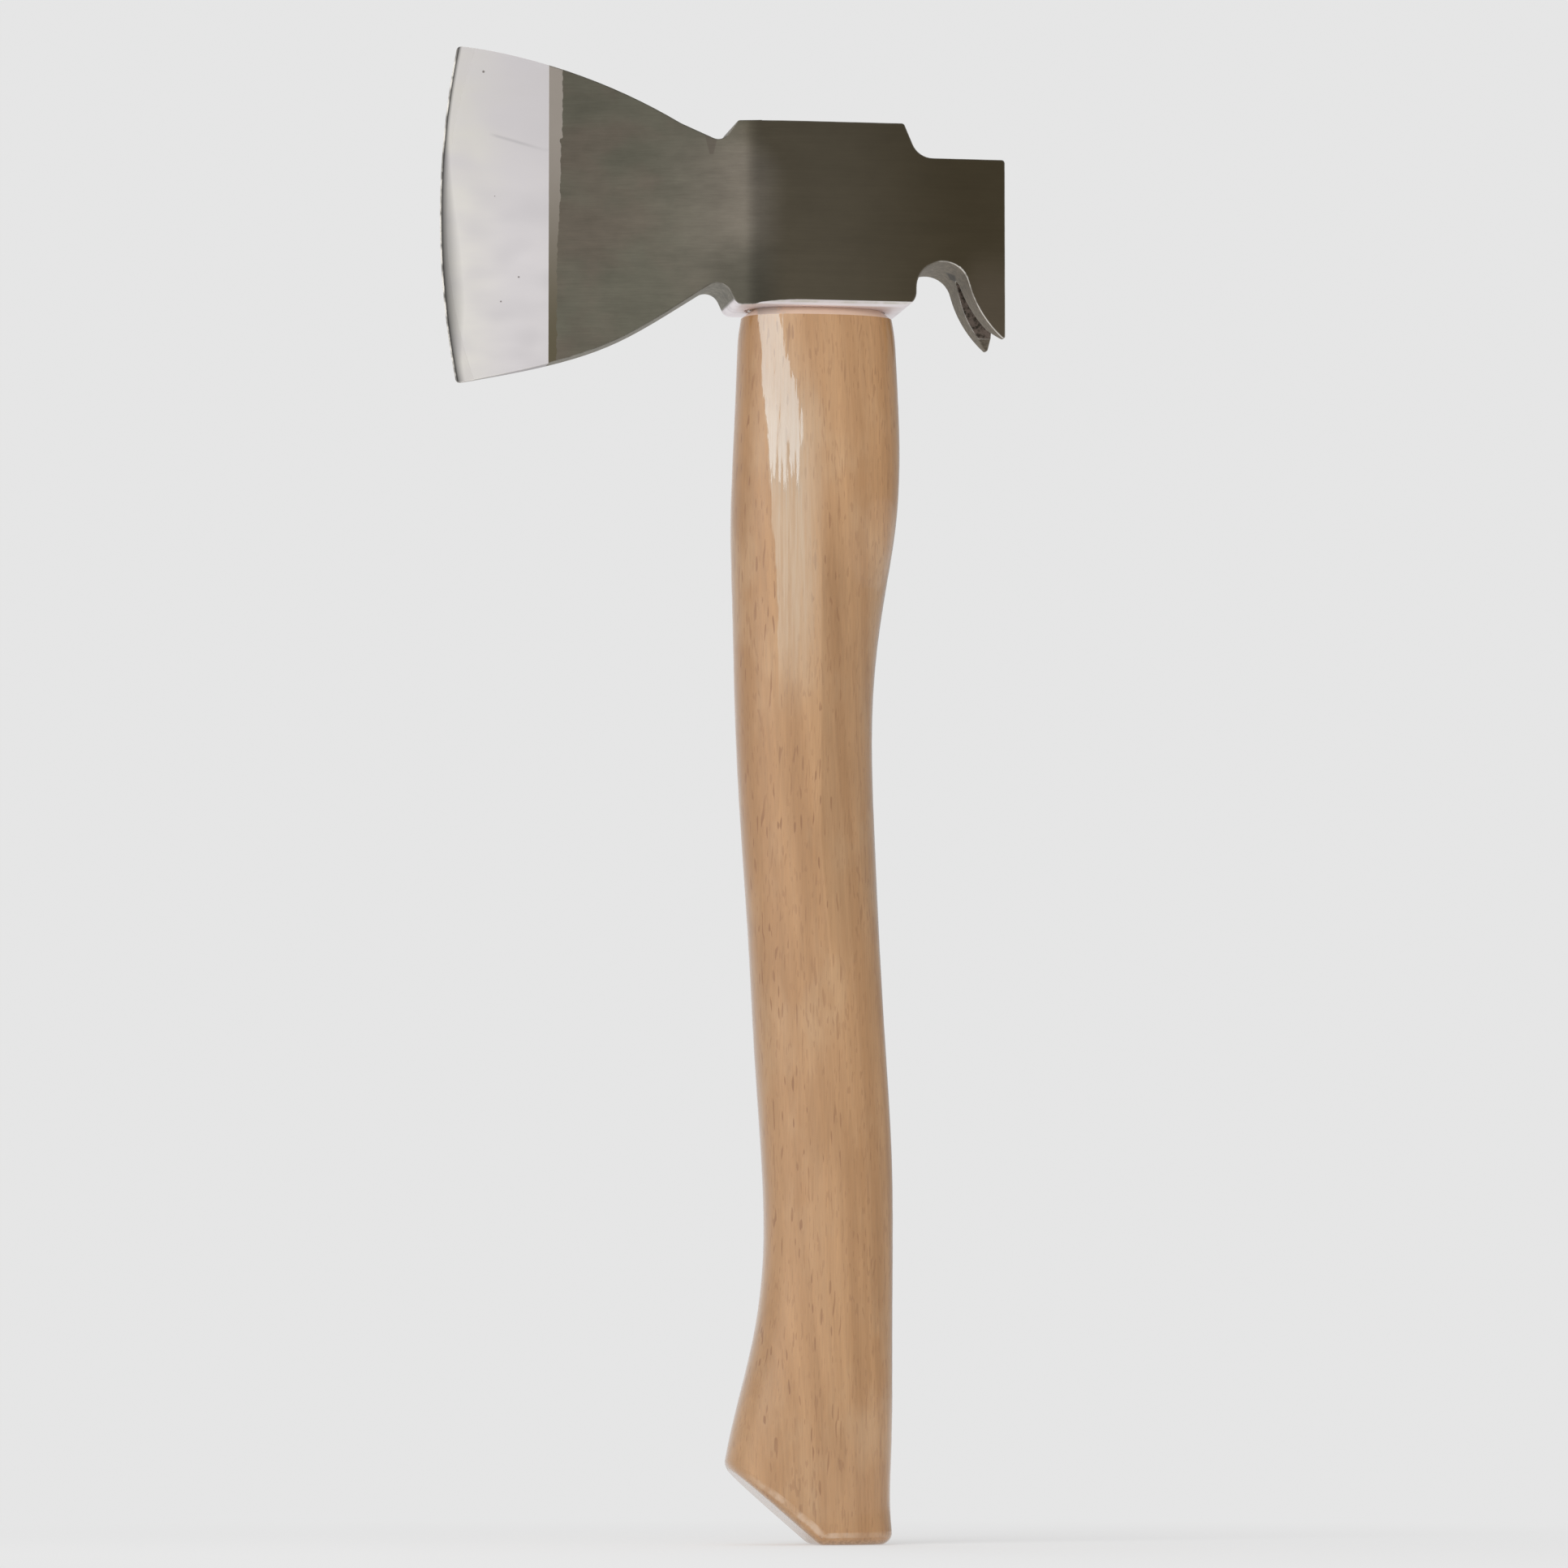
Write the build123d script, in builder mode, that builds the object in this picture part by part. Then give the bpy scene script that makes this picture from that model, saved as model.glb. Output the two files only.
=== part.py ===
"""Carpenter's hatchet: a forged head with a hammer poll and a nail claw, on a curved
beech handle that is held in the eye by a wooden wedge and two steel wedges.

Frame: +Z runs up the handle to the head, the cutting edge points to -X, and the
thickness of the tool lies along Y, so that XZ is its plane of symmetry. The origin
is the centre of the hand grip. All sizes are in millimetres.
"""

import os
from math import cos, pi, radians, sin, tan

from build123d import *

os.makedirs("parts", exist_ok=True)

# ---------------------------------------------------------------- driving sizes

# Forged head, with its heights counted from the grip
HEAD_BOTTOM = 199.0  # underside of the eye, which the handle's shoulder meets
HEAD_TOP = 248.5  # top of the eye
POLL_TOP = 239.3  # top of the hammer poll, one step below the eye
HEAD_THICKNESS = 28.0
HALF_THICKNESS = HEAD_THICKNESS / 2
CLEARANCE = 5.0  # how far a cutting shape runs past what it cuts

# Cutting edge: an arc in the XZ plane
EDGE_X = -102.5  # foremost point of the edge
EDGE_RADIUS = 230.0
EDGE_MIDDLE_Z = 223.1
EDGE_HALF_HEIGHT = 45.4  # from the middle of the edge up to the toe and down to the heel
EDGE_CENTRE_X = EDGE_X + EDGE_RADIUS
TIP_X = EDGE_CENTRE_X - (EDGE_RADIUS**2 - EDGE_HALF_HEIGHT**2) ** 0.5
TOE = (TIP_X, EDGE_MIDDLE_Z + EDGE_HALF_HEIGHT)
HEEL = (TIP_X, EDGE_MIDDLE_Z - EDGE_HALF_HEIGHT)
TIP_ROUND = 1.2

# Blade outline, from the toe and the heel back to the neck
BLADE_TOP_MIDDLE = (-64.4, 260.3)
BLADE_TOP_END = (-38.9, 247.8)
BLADE_BOTTOM_MIDDLE = (-55.8, 189.6)
BLADE_BOTTOM_END = (-36.5, 201.0)
BLADE_BOTTOM_START_RUN = (-8.6, -5.6)  # direction of the curve where it leaves the neck
BLADE_BOTTOM_HEEL_RUN = (-1.0, -0.22)  # and where it reaches the heel

# Blade thickness, measured from the plane of symmetry
SHOULDER_X = -73.7  # the straight line where the ground bevel meets the cheek
SHOULDER_HALF = 3.2
BEVEL_EDGE_HALF = 0.25  # what the ground bevel leaves for the honed edge
HONE_ANGLE = 14.0  # half angle of the narrow honed bevel
CHEEK_MIDDLE = (-53.2, 6.2)
CHEEK_BACK = (-33.0, 9.9)
CHEEK_START_RUN = (1.0, 0.13)  # direction of the hollow cheek where it leaves the shoulder
CHEEK_END_RUN = (1.0, 0.25)  # and where it meets the neck
NECK = (-17.8, 13.2)  # a soft crease, behind which the sides turn parallel
SIDE_START_X = -6.0  # from here back the sides of the head are parallel

# Lug round the eye, and the notches between it and the blade
LUG_FRONT_TOP_X = -23.9
LUG_FRONT_BOTTOM_X = -24.2
LUG_BACK_TOP_X = 20.6
LUG_BACK_BOTTOM_X = 24.0
LUG_BACK_BOTTOM_ROUND = 4.2
LUG_FRONT_BOTTOM_ROUND = 2.4
TOP_NOTCH = (-28.1, 242.7)
TOP_NOTCH_RADIUS = 3.0
BOTTOM_NOTCH = (-27.9, 206.6)
BOTTOM_NOTCH_RADIUS = 4.0

# Hammer poll
POLL_X = 48.0  # hammer face
POLL_STEP_X = 24.5
POLL_STEP_RADIUS = 6.0

# Nail claw under the poll: a round throat, then two tines that taper to the tip
THROAT_X = 31.1
THROAT_Z = 204.3
THROAT_RADIUS = 7.1
THROAT_END_ANGLE = 14.0
CLAW_MIDDLE = (41.6, 197.7)
CLAW_TIP_Z = 190.4
CLAW_TIP_ROUND = 0.6
SLOT_ROOT_Z = 205.9
SLOT_ROOT_HALF = 2.3
SLOT_FLARE_Z = 198.6
SLOT_FLARE_HALF = 5.4
SLOT_TIP_Z = 193.8  # below this the slot flares out to the sides, so the tines end in points
SLOT_TIP_HALF = 7.2
TINE_TIP_HALF = 13.0

# Finishing of the head
CORNER_ROUND = 0.9
UNDERSIDE_CHAMFER = 1.4
EDGE_BREAK = 0.5

# Eye: an oval hole that widens upwards, so that the wedged tenon can't pull out
EYE_X = -1.4
EYE_BOTTOM_SIZE = (36.5, 18.0)
EYE_TOP_SIZE = (38.5, 20.0)
EYE_MOUTH_CHAMFER = 0.8

# Handle: height of a section, its centre along X, its width along X, its thickness
HANDLE_SECTIONS = (
    (199.0, -1.0, 39.4, 24.5),
    (185.0, -0.9, 42.8, 25.6),
    (160.0, -1.0, 44.7, 26.8),
    (140.0, -1.9, 44.1, 27.0),
    (120.0, -3.3, 40.4, 26.2),
    (95.0, -4.4, 37.0, 25.0),
    (60.0, -3.4, 35.6, 24.2),
    (30.0, -1.7, 34.9, 24.0),
    (0.0, 0.0, 35.0, 24.0),
    (-30.0, 1.8, 34.6, 24.3),
    (-52.0, 2.1, 34.3, 24.7),
    (-75.0, 0.7, 36.8, 25.8),
    (-106.0, -3.1, 43.8, 27.0),
    (-134.0, -4.0, 49.0, 27.4),
)
OVAL_POWER = 2.6  # 2 is an ellipse, more is a squarer oval
OVAL_POINTS = 24
HANDLE_SHOULDER_CHAMFER = 2.2
BUTT_Z = -129.8
BUTT_CUT_FRONT = (-25.2, -109.5)  # front end of the slanted cut across the butt
BUTT_CUT_BACK = (-1.7, -129.8)
BUTT_ROUND = 3.2

# Wooden wedge, in the kerf that runs along the eye
KERF_DEPTH = 36.0
KERF_TOP_WIDTH = 3.6
KERF_BOTTOM_WIDTH = 0.8

# Steel wedges, driven across the wooden one
STEEL_WEDGE_OFFSET = 8.5  # from the middle of the eye to the front and to the back
STEEL_WEDGE_LENGTH = 13.0
STEEL_WEDGE_DEPTH = 18.0
STEEL_WEDGE_TOP_WIDTH = 2.6
STEEL_WEDGE_BOTTOM_WIDTH = 0.8


# ---------------------------------------------------------------- shared shapes


def eye_space():
    """The inside of the eye, from the underside of the head to its top."""
    with BuildPart() as space:
        for height, size in ((HEAD_BOTTOM, EYE_BOTTOM_SIZE), (HEAD_TOP, EYE_TOP_SIZE)):
            with BuildSketch(Plane((EYE_X, 0, height))):
                Ellipse(size[0] / 2, size[1] / 2)
        loft()
    return space.part


def wedge_space(section_plane, top_width, bottom_width, depth, length):
    """A wedge that tapers down from the top of the head, `length` long in all.

    `section_plane` faces along the wedge, with its own Y axis up and its origin at
    the wedge's middle, at the height of the top of the head.
    """
    with BuildPart() as space:
        with BuildSketch(section_plane):
            Polygon(
                (-top_width / 2, 0),
                (top_width / 2, 0),
                (bottom_width / 2, -depth),
                (-bottom_width / 2, -depth),
                align=None,
            )
        extrude(amount=length / 2, both=True)
    return space.part


def oval_point(angle, width, thickness):
    """A point of a squared oval, at the given angle round it."""
    across = cos(angle)
    through = sin(angle)
    return (
        width / 2 * abs(across) ** (2 / OVAL_POWER) * (1 if across > 0 else -1),
        thickness / 2 * abs(through) ** (2 / OVAL_POWER) * (1 if through > 0 else -1),
    )


def nearest_edge(part, corner):
    """The edge of `part` along Y that stands over a corner of the side outline."""
    place = Vector(corner[0], 0, corner[1])
    return part.edges().filter_by(Axis.Y).sort_by(lambda edge: (edge.center() - place).length)[0]


tenon_space = eye_space()
kerf = wedge_space(
    Plane((EYE_X, 0, HEAD_TOP), x_dir=(0, 1, 0), z_dir=(1, 0, 0)),
    KERF_TOP_WIDTH,
    KERF_BOTTOM_WIDTH,
    KERF_DEPTH,
    2 * EYE_TOP_SIZE[0],
)
steel_wedge_spaces = {
    name: wedge_space(
        Plane((EYE_X + side * STEEL_WEDGE_OFFSET, 0, HEAD_TOP), x_dir=(-1, 0, 0), z_dir=(0, 1, 0)),
        STEEL_WEDGE_TOP_WIDTH,
        STEEL_WEDGE_BOTTOM_WIDTH,
        STEEL_WEDGE_DEPTH,
        STEEL_WEDGE_LENGTH,
    )
    for name, side in (("steel_wedge_front", -1), ("steel_wedge_rear", 1))
}

# ---------------------------------------------------------------- forged head

# The side outline, as a plate as thick as the head
throat_left = (THROAT_X - THROAT_RADIUS, THROAT_Z)
throat_top = (THROAT_X, THROAT_Z + THROAT_RADIUS)
throat_right = (
    THROAT_X + THROAT_RADIUS * cos(radians(THROAT_END_ANGLE)),
    THROAT_Z + THROAT_RADIUS * sin(radians(THROAT_END_ANGLE)),
)
lug_front_top = (LUG_FRONT_TOP_X, HEAD_TOP)
lug_back_top = (LUG_BACK_TOP_X, HEAD_TOP)
lug_front_bottom = (LUG_FRONT_BOTTOM_X, HEAD_BOTTOM)
lug_back_bottom = (LUG_BACK_BOTTOM_X, HEAD_BOTTOM)
poll_step = (POLL_STEP_X, POLL_TOP)
poll_top = (POLL_X, POLL_TOP)
claw_tip = (POLL_X, CLAW_TIP_Z)
corner_rounds = (
    (TOE, TIP_ROUND),
    (HEEL, TIP_ROUND),
    (TOP_NOTCH, TOP_NOTCH_RADIUS),
    (BOTTOM_NOTCH, BOTTOM_NOTCH_RADIUS),
    (lug_front_top, CORNER_ROUND),
    (lug_back_top, CORNER_ROUND),
    (lug_front_bottom, LUG_FRONT_BOTTOM_ROUND),
    (lug_back_bottom, LUG_BACK_BOTTOM_ROUND),
    (poll_step, POLL_STEP_RADIUS),
    (poll_top, CORNER_ROUND),
    (claw_tip, CLAW_TIP_ROUND),
)
with BuildPart() as side_plate:
    with BuildSketch(Plane.XZ):
        with BuildLine():
            ThreePointArc(TOE, BLADE_TOP_MIDDLE, BLADE_TOP_END)
            Polyline(
                BLADE_TOP_END,
                TOP_NOTCH,
                lug_front_top,
                lug_back_top,
                poll_step,
                poll_top,
                claw_tip,
            )
            ThreePointArc(claw_tip, CLAW_MIDDLE, throat_right)
            ThreePointArc(throat_right, throat_top, throat_left)
            Polyline(
                throat_left,
                lug_back_bottom,
                lug_front_bottom,
                BOTTOM_NOTCH,
                BLADE_BOTTOM_END,
            )
            Spline(
                BLADE_BOTTOM_END,
                BLADE_BOTTOM_MIDDLE,
                HEEL,
                tangents=(BLADE_BOTTOM_START_RUN, BLADE_BOTTOM_HEEL_RUN),
            )
            ThreePointArc(HEEL, (EDGE_X, EDGE_MIDDLE_Z), TOE)
        make_face()
    extrude(amount=HALF_THICKNESS, both=True)
    for corner, radius in corner_rounds:
        fillet(nearest_edge(side_plate, corner), radius)

# The plan of the head, as a column taller than the head: a ground bevel, a hollow
# cheek, a crease at the neck, and sides that turn parallel beside the eye
with BuildPart() as plan_column:
    with BuildSketch(Plane.XY.offset(HEEL[1] - CLEARANCE)):
        with BuildLine():
            Polyline((EDGE_X, 0), (EDGE_X, BEVEL_EDGE_HALF), (SHOULDER_X, SHOULDER_HALF))
            Spline(
                (SHOULDER_X, SHOULDER_HALF),
                CHEEK_MIDDLE,
                CHEEK_BACK,
                NECK,
                tangents=(CHEEK_START_RUN, CHEEK_END_RUN),
            )
            TangentArc((SIDE_START_X, HALF_THICKNESS), NECK, tangent=(-1, 0))
            Polyline(
                (SIDE_START_X, HALF_THICKNESS),
                (POLL_X, HALF_THICKNESS),
                (POLL_X, 0),
                (EDGE_X, 0),
            )
        make_face()
        mirror(about=Plane.XZ)
    extrude(amount=TOE[1] - HEEL[1] + 2 * CLEARANCE)

# The honed edge: a flat double cone, whose rim is the cutting edge
hone_height = EDGE_RADIUS * tan(radians(HONE_ANGLE))
with BuildPart() as hone_cone:
    with BuildSketch(Plane.XY.offset(EDGE_MIDDLE_Z)):
        Polygon(
            (EDGE_X, 0),
            (EDGE_CENTRE_X, hone_height),
            (EDGE_CENTRE_X, -hone_height),
            align=None,
        )
    revolve(axis=Axis((EDGE_CENTRE_X, 0, EDGE_MIDDLE_Z), (0, 1, 0)))

with BuildPart() as axe_head:
    add(side_plate.part)
    add(plan_column.part, mode=Mode.INTERSECT)
    add(hone_cone.part, mode=Mode.INTERSECT)

    # The claw's slot runs right through the tines to the hammer face
    with BuildSketch(Plane.YZ.offset(THROAT_X)):
        with BuildLine():
            ThreePointArc(
                (-SLOT_ROOT_HALF, SLOT_ROOT_Z),
                (0, SLOT_ROOT_Z + SLOT_ROOT_HALF),
                (SLOT_ROOT_HALF, SLOT_ROOT_Z),
            )
            Polyline(
                (SLOT_ROOT_HALF, SLOT_ROOT_Z),
                (SLOT_FLARE_HALF, SLOT_FLARE_Z),
                (SLOT_TIP_HALF, SLOT_TIP_Z),
                (TINE_TIP_HALF, CLAW_TIP_Z),
                (TINE_TIP_HALF, CLAW_TIP_Z - CLEARANCE),
                (-TINE_TIP_HALF, CLAW_TIP_Z - CLEARANCE),
                (-TINE_TIP_HALF, CLAW_TIP_Z),
                (-SLOT_TIP_HALF, SLOT_TIP_Z),
                (-SLOT_FLARE_HALF, SLOT_FLARE_Z),
                (-SLOT_ROOT_HALF, SLOT_ROOT_Z),
            )
        make_face()
    extrude(amount=POLL_X - THROAT_X + CLEARANCE, mode=Mode.SUBTRACT)

    # Ground chamfers along both sides of the underside of the eye
    with BuildSketch(Plane.YZ.offset(LUG_FRONT_BOTTOM_X - CLEARANCE)):
        for side in (-1, 1):
            Polygon(
                (side * HALF_THICKNESS, HEAD_BOTTOM + UNDERSIDE_CHAMFER),
                (side * (HALF_THICKNESS - UNDERSIDE_CHAMFER), HEAD_BOTTOM),
                (side * (HALF_THICKNESS + UNDERSIDE_CHAMFER), HEAD_BOTTOM - UNDERSIDE_CHAMFER),
                align=None,
            )
    extrude(
        amount=LUG_BACK_BOTTOM_X - LUG_FRONT_BOTTOM_X + 2 * CLEARANCE,
        mode=Mode.SUBTRACT,
    )

    # The eye, with a small chamfer round both of its mouths
    add(tenon_space, mode=Mode.SUBTRACT)
    eye_mouths = (
        axe_head.edges()
        .filter_by(GeomType.ELLIPSE)
        .filter_by(lambda edge: edge.length > 2 * EYE_BOTTOM_SIZE[0])
    )
    chamfer(eye_mouths, EYE_MOUTH_CHAMFER)

    # Broken edges round the sides and the hammer face
    side_edges = axe_head.edges().filter_by(
        lambda edge: abs(abs(edge.center().Y) - HALF_THICKNESS) < UNDERSIDE_CHAMFER
    )
    face_edges = axe_head.edges().filter_by_position(Axis.X, POLL_X, POLL_X)
    fillet(list(set(side_edges) | set(face_edges)), EDGE_BREAK)
axe_head.part.label = "axe_head"

# ---------------------------------------------------------------- handle

with BuildPart() as handle:
    for height, centre_x, width, thickness in HANDLE_SECTIONS:
        with BuildSketch(Plane((centre_x, 0, height))):
            with BuildLine():
                Spline(
                    [
                        oval_point(2 * pi * (step + 0.5) / OVAL_POINTS, width, thickness)
                        for step in range(OVAL_POINTS)
                    ],
                    periodic=True,
                )
            make_face()
    loft()
    chamfer(handle.edges().sort_by(Axis.Z)[-1], HANDLE_SHOULDER_CHAMFER)

    # The butt is cut level at the back and at a slant at the front, and rounded over
    cut_run = BUTT_CUT_BACK[0] - BUTT_CUT_FRONT[0]
    cut_drop = BUTT_CUT_BACK[1] - BUTT_CUT_FRONT[1]
    below_butt = BUTT_Z - cut_run
    behind_butt = BUTT_CUT_BACK[0] + 2 * cut_run
    with BuildSketch(Plane.XZ):
        Polygon(
            (BUTT_CUT_FRONT[0] - cut_run, BUTT_CUT_FRONT[1] - cut_drop),
            BUTT_CUT_BACK,
            (behind_butt, BUTT_Z),
            (behind_butt, below_butt),
            (BUTT_CUT_FRONT[0] - cut_run, below_butt),
            align=None,
        )
    extrude(amount=HEAD_THICKNESS, both=True, mode=Mode.SUBTRACT)
    butt_edges = handle.edges().filter_by(
        lambda edge: edge.bounding_box().max.Z < BUTT_CUT_FRONT[1] + CLEARANCE
    )
    fillet(butt_edges, BUTT_ROUND)

    # The tenon fills the eye; the kerf and the steel wedges cut into it
    add(tenon_space)
    add(kerf, mode=Mode.SUBTRACT)
    for steel_space in steel_wedge_spaces.values():
        add(steel_space, mode=Mode.SUBTRACT)
handle.part.label = "handle"

# ---------------------------------------------------------------- wedges

with BuildPart() as wooden_wedge:
    add(kerf)
    add(tenon_space, mode=Mode.INTERSECT)
    for steel_space in steel_wedge_spaces.values():
        add(steel_space, mode=Mode.SUBTRACT)
wooden_wedge.part.label = "wooden_wedge"

steel_wedge_parts = []
for name, steel_space in steel_wedge_spaces.items():
    with BuildPart() as steel_wedge:
        add(steel_space)
    steel_wedge.part.label = name
    steel_wedge_parts.append(steel_wedge.part)

# ---------------------------------------------------------------- export

for part in (axe_head.part, handle.part, wooden_wedge.part, *steel_wedge_parts):
    export_step(part, f"parts/{part.label}.step")
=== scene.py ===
"""Looks for the hatchet: camera, studio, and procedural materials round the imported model.

Metres throughout, in the model's own frame: +Z up the handle, cutting edge to -X.
"""

from math import cos, pi, radians, sin

import bpy
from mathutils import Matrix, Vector


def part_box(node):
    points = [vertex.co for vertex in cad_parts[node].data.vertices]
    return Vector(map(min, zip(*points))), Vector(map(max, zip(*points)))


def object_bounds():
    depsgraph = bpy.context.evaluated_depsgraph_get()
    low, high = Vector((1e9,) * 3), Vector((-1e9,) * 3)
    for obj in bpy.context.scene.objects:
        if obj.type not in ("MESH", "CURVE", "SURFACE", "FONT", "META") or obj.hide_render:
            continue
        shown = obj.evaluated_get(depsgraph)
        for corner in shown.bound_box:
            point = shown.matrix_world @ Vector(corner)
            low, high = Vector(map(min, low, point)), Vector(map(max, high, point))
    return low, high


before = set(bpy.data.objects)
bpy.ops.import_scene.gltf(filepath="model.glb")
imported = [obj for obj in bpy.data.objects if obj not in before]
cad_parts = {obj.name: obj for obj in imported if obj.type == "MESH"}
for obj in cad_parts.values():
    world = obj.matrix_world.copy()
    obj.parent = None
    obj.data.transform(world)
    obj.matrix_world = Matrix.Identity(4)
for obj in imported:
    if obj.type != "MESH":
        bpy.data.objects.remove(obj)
cad_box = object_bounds()
MM = 0.001

# ---------------------------------------------------------------- places on the object

head_low, head_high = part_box("axe_head")
floor_z = cad_box[0].z
EDGE_X = head_low.x  # foremost point of the cutting edge
EDGE_RADIUS = 230 * MM
EDGE_CENTRE_X = EDGE_X + EDGE_RADIUS
EDGE_MIDDLE_Z = (head_low.z + head_high.z) / 2
SHOULDER_X = EDGE_X + 28.8 * MM  # where the ground bevel meets the lacquered cheek
RUN_X = EDGE_X + 71.6 * MM  # middle of the run of lacquer beside the top notch
NECK_X = EDGE_X + 84.7 * MM  # the crease where the cheek meets the side of the eye
POLL_X = head_high.x  # the hammer face
CLAW_X = POLL_X - 16 * MM  # where the slot between the tines starts
HEEL_Z = head_low.z  # lowest point of the cutting edge
TIP_Z = head_high.z  # and its highest point
EYE_BOTTOM_Z = 199 * MM
EYE_TOP_Z = 248.5 * MM
COLLAR_Z = 196.5 * MM  # lower rim of the chamfer round the top of the handle
BUTT_RIM_Z = floor_z + 28 * MM  # below this the handle is rounded over to the butt

# ---------------------------------------------------------------- helpers


def direction(azimuth, elevation):
    """From the object out: azimuth 0 is the front, -Y, and positive turns to +X."""
    turn = radians(azimuth)
    tilt = radians(elevation)
    return Vector((sin(turn) * cos(tilt), -cos(turn) * cos(tilt), sin(tilt)))


class Shader:
    """A material with a Principled surface, and short calls that add nodes to it.

    Each call takes numbers, colours or the outputs of earlier nodes, and gives an output.
    A mask is 1 inside its area, 0 outside, and between the two in its soft border.
    """

    def __init__(self, name):
        self.material = bpy.data.materials.new(name)
        self.material.use_nodes = True
        self.tree = self.material.node_tree
        self.surface = self.tree.nodes["Principled BSDF"]
        self.place = self.new("ShaderNodeTexCoord").outputs["Object"]
        self.x, self.y, self.z = self.split(self.place)
        self.normal = self.new("ShaderNodeNewGeometry").outputs["Normal"]
        self.normal_x, self.normal_y, self.normal_z = self.split(self.normal)

    def new(self, kind, **settings):
        node = self.tree.nodes.new(kind)
        for name, value in settings.items():
            setattr(node, name, value)
        return node

    def put(self, socket, value):
        """Links or sets one input."""
        if isinstance(value, bpy.types.NodeSocket):
            self.tree.links.new(value, socket)
        elif hasattr(value, "__len__") and len(value) == 3 and socket.type == "RGBA":
            socket.default_value = (*value, 1.0)
        else:
            socket.default_value = value

    def set(self, **inputs):
        """Sets the surface's inputs: base_color=..., roughness=..."""
        for name, value in inputs.items():
            label = name.replace("_", " ").title().replace("Ior", "IOR")
            self.put(self.surface.inputs[label], value)

    # Numbers

    def math(self, operation, *values, clamp=False):
        node = self.new("ShaderNodeMath", operation=operation, use_clamp=clamp)
        for socket, value in zip(node.inputs, values):
            self.put(socket, value)
        return node.outputs[0]

    def times(self, first, *others):
        for other in others:
            first = self.math("MULTIPLY", first, other)
        return first

    def plus(self, first, *others):
        for other in others:
            first = self.math("ADD", first, other)
        return first

    def minus(self, first, second):
        return self.math("SUBTRACT", first, second)

    def size(self, value):
        """The value without its sign."""
        return self.math("ABSOLUTE", value)

    def ramp(self, value, low, high, to_low=0.0, to_high=1.0, smooth=True):
        """Goes from to_low to to_high while value goes from low to high."""
        kind = "SMOOTHSTEP" if smooth else "LINEAR"
        node = self.new("ShaderNodeMapRange", interpolation_type=kind)
        for socket, number in zip(node.inputs, (value, low, high, to_low, to_high)):
            self.put(socket, number)
        return node.outputs[0]

    def distance(self, x, z):
        """Distance from a point of the side view, so that a mark shows on both sides."""
        across = self.minus(self.x, x)
        up = self.minus(self.z, z)
        return self.math("SQRT", self.plus(self.times(across, across), self.times(up, up)))

    # Vectors

    def vector_math(self, operation, *values):
        node = self.new("ShaderNodeVectorMath", operation=operation)
        for socket, value in zip(node.inputs, values):
            self.put(socket, value)
        return node.outputs["Value" if operation in ("DOT_PRODUCT", "LENGTH") else "Vector"]

    def split(self, vector):
        node = self.new("ShaderNodeSeparateXYZ")
        self.put(node.inputs[0], vector)
        return node.outputs

    def join(self, x, y, z):
        node = self.new("ShaderNodeCombineXYZ")
        for socket, value in zip(node.inputs, (x, y, z)):
            self.put(socket, value)
        return node.outputs[0]

    # Going from one value to another as a mask goes from 0 to 1

    def between(self, kind, mask, first, second, **settings):
        node = self.new("ShaderNodeMix", data_type=kind, **settings)
        self.put(node.inputs["Factor"], mask)
        self.put(node.inputs["A"], first)
        self.put(node.inputs["B"], second)
        return node.outputs["Result"]

    def mix(self, mask, first, second):
        """For colours."""
        return self.between("RGBA", mask, first, second)

    def blend(self, mask, first, second):
        """For numbers."""
        return self.between("FLOAT", mask, first, second)

    def turn(self, mask, first, second):
        """For normals."""
        return self.between("VECTOR", mask, first, second)

    def tint(self, colour, other):
        """One colour multiplied by another."""
        return self.between("RGBA", 1.0, colour, other, blend_type="MULTIPLY")

    def shade(self, colour, level):
        """A colour made darker or paler by a number."""
        return self.tint(colour, self.join(level, level, level))

    # Textures

    def noise_at(self, place, detail, roughness=0.5):
        node = self.new("ShaderNodeTexNoise")
        self.put(node.inputs["Vector"], place)
        node.inputs["Scale"].default_value = 1.0
        node.inputs["Detail"].default_value = detail
        node.inputs["Roughness"].default_value = roughness
        return node.outputs["Fac"]

    def noise(self, stretch, detail=3.0, roughness=0.5, seed=0.0):
        """Noise with features of 1/stretch metres along X, Y and Z."""
        place = self.vector_math("MULTIPLY_ADD", self.place, stretch, (seed, seed, seed))
        return self.noise_at(place, detail, roughness)

    def swing(self, noise, amount):
        """Noise turned into a number from -amount to amount."""
        return self.ramp(noise, 0.3, 0.7, -amount, amount, smooth=False)

    def bump(self, height, distance, strength=1.0, normal=None):
        node = self.new("ShaderNodeBump")
        node.inputs["Strength"].default_value = strength
        node.inputs["Distance"].default_value = distance
        self.put(node.inputs["Height"], height)
        if normal is not None:
            self.put(node.inputs["Normal"], normal)
        return node.outputs["Normal"]


# ---------------------------------------------------------------- steel of the head

BLADE_BROWN = (0.116, 0.100, 0.079)
BLADE_GREEN = (0.106, 0.101, 0.078)
NECK_HIGHLIGHT_TONE = (0.152, 0.134, 0.109)
LOW_NECK_TONE = (0.072, 0.067, 0.052)
EYE_TONE = (0.100, 0.085, 0.060)
POLL_TONE = (0.070, 0.056, 0.034)
TINE_TONE = (0.120, 0.097, 0.070)
RUN_TONE = (0.075, 0.060, 0.050)
FORGED_DARK = (0.170, 0.158, 0.130)
FORGED_PALE = (0.305, 0.285, 0.235)
CLAW_TINT = (0.84, 0.77, 0.70)
SHADED_SLOT_DARK = (0.040, 0.034, 0.026)
SHADED_SLOT_PALE = (0.150, 0.118, 0.098)
PIT_SHADE_TONE = (0.040, 0.036, 0.028)
STRIP_LOW = (0.100, 0.086, 0.056)
STRIP_HIGH = (0.255, 0.228, 0.200)
CHAMFER_DARK = (0.82, 0.77, 0.79)
CHAMFER_PALE = (0.96, 0.91, 0.93)
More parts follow.
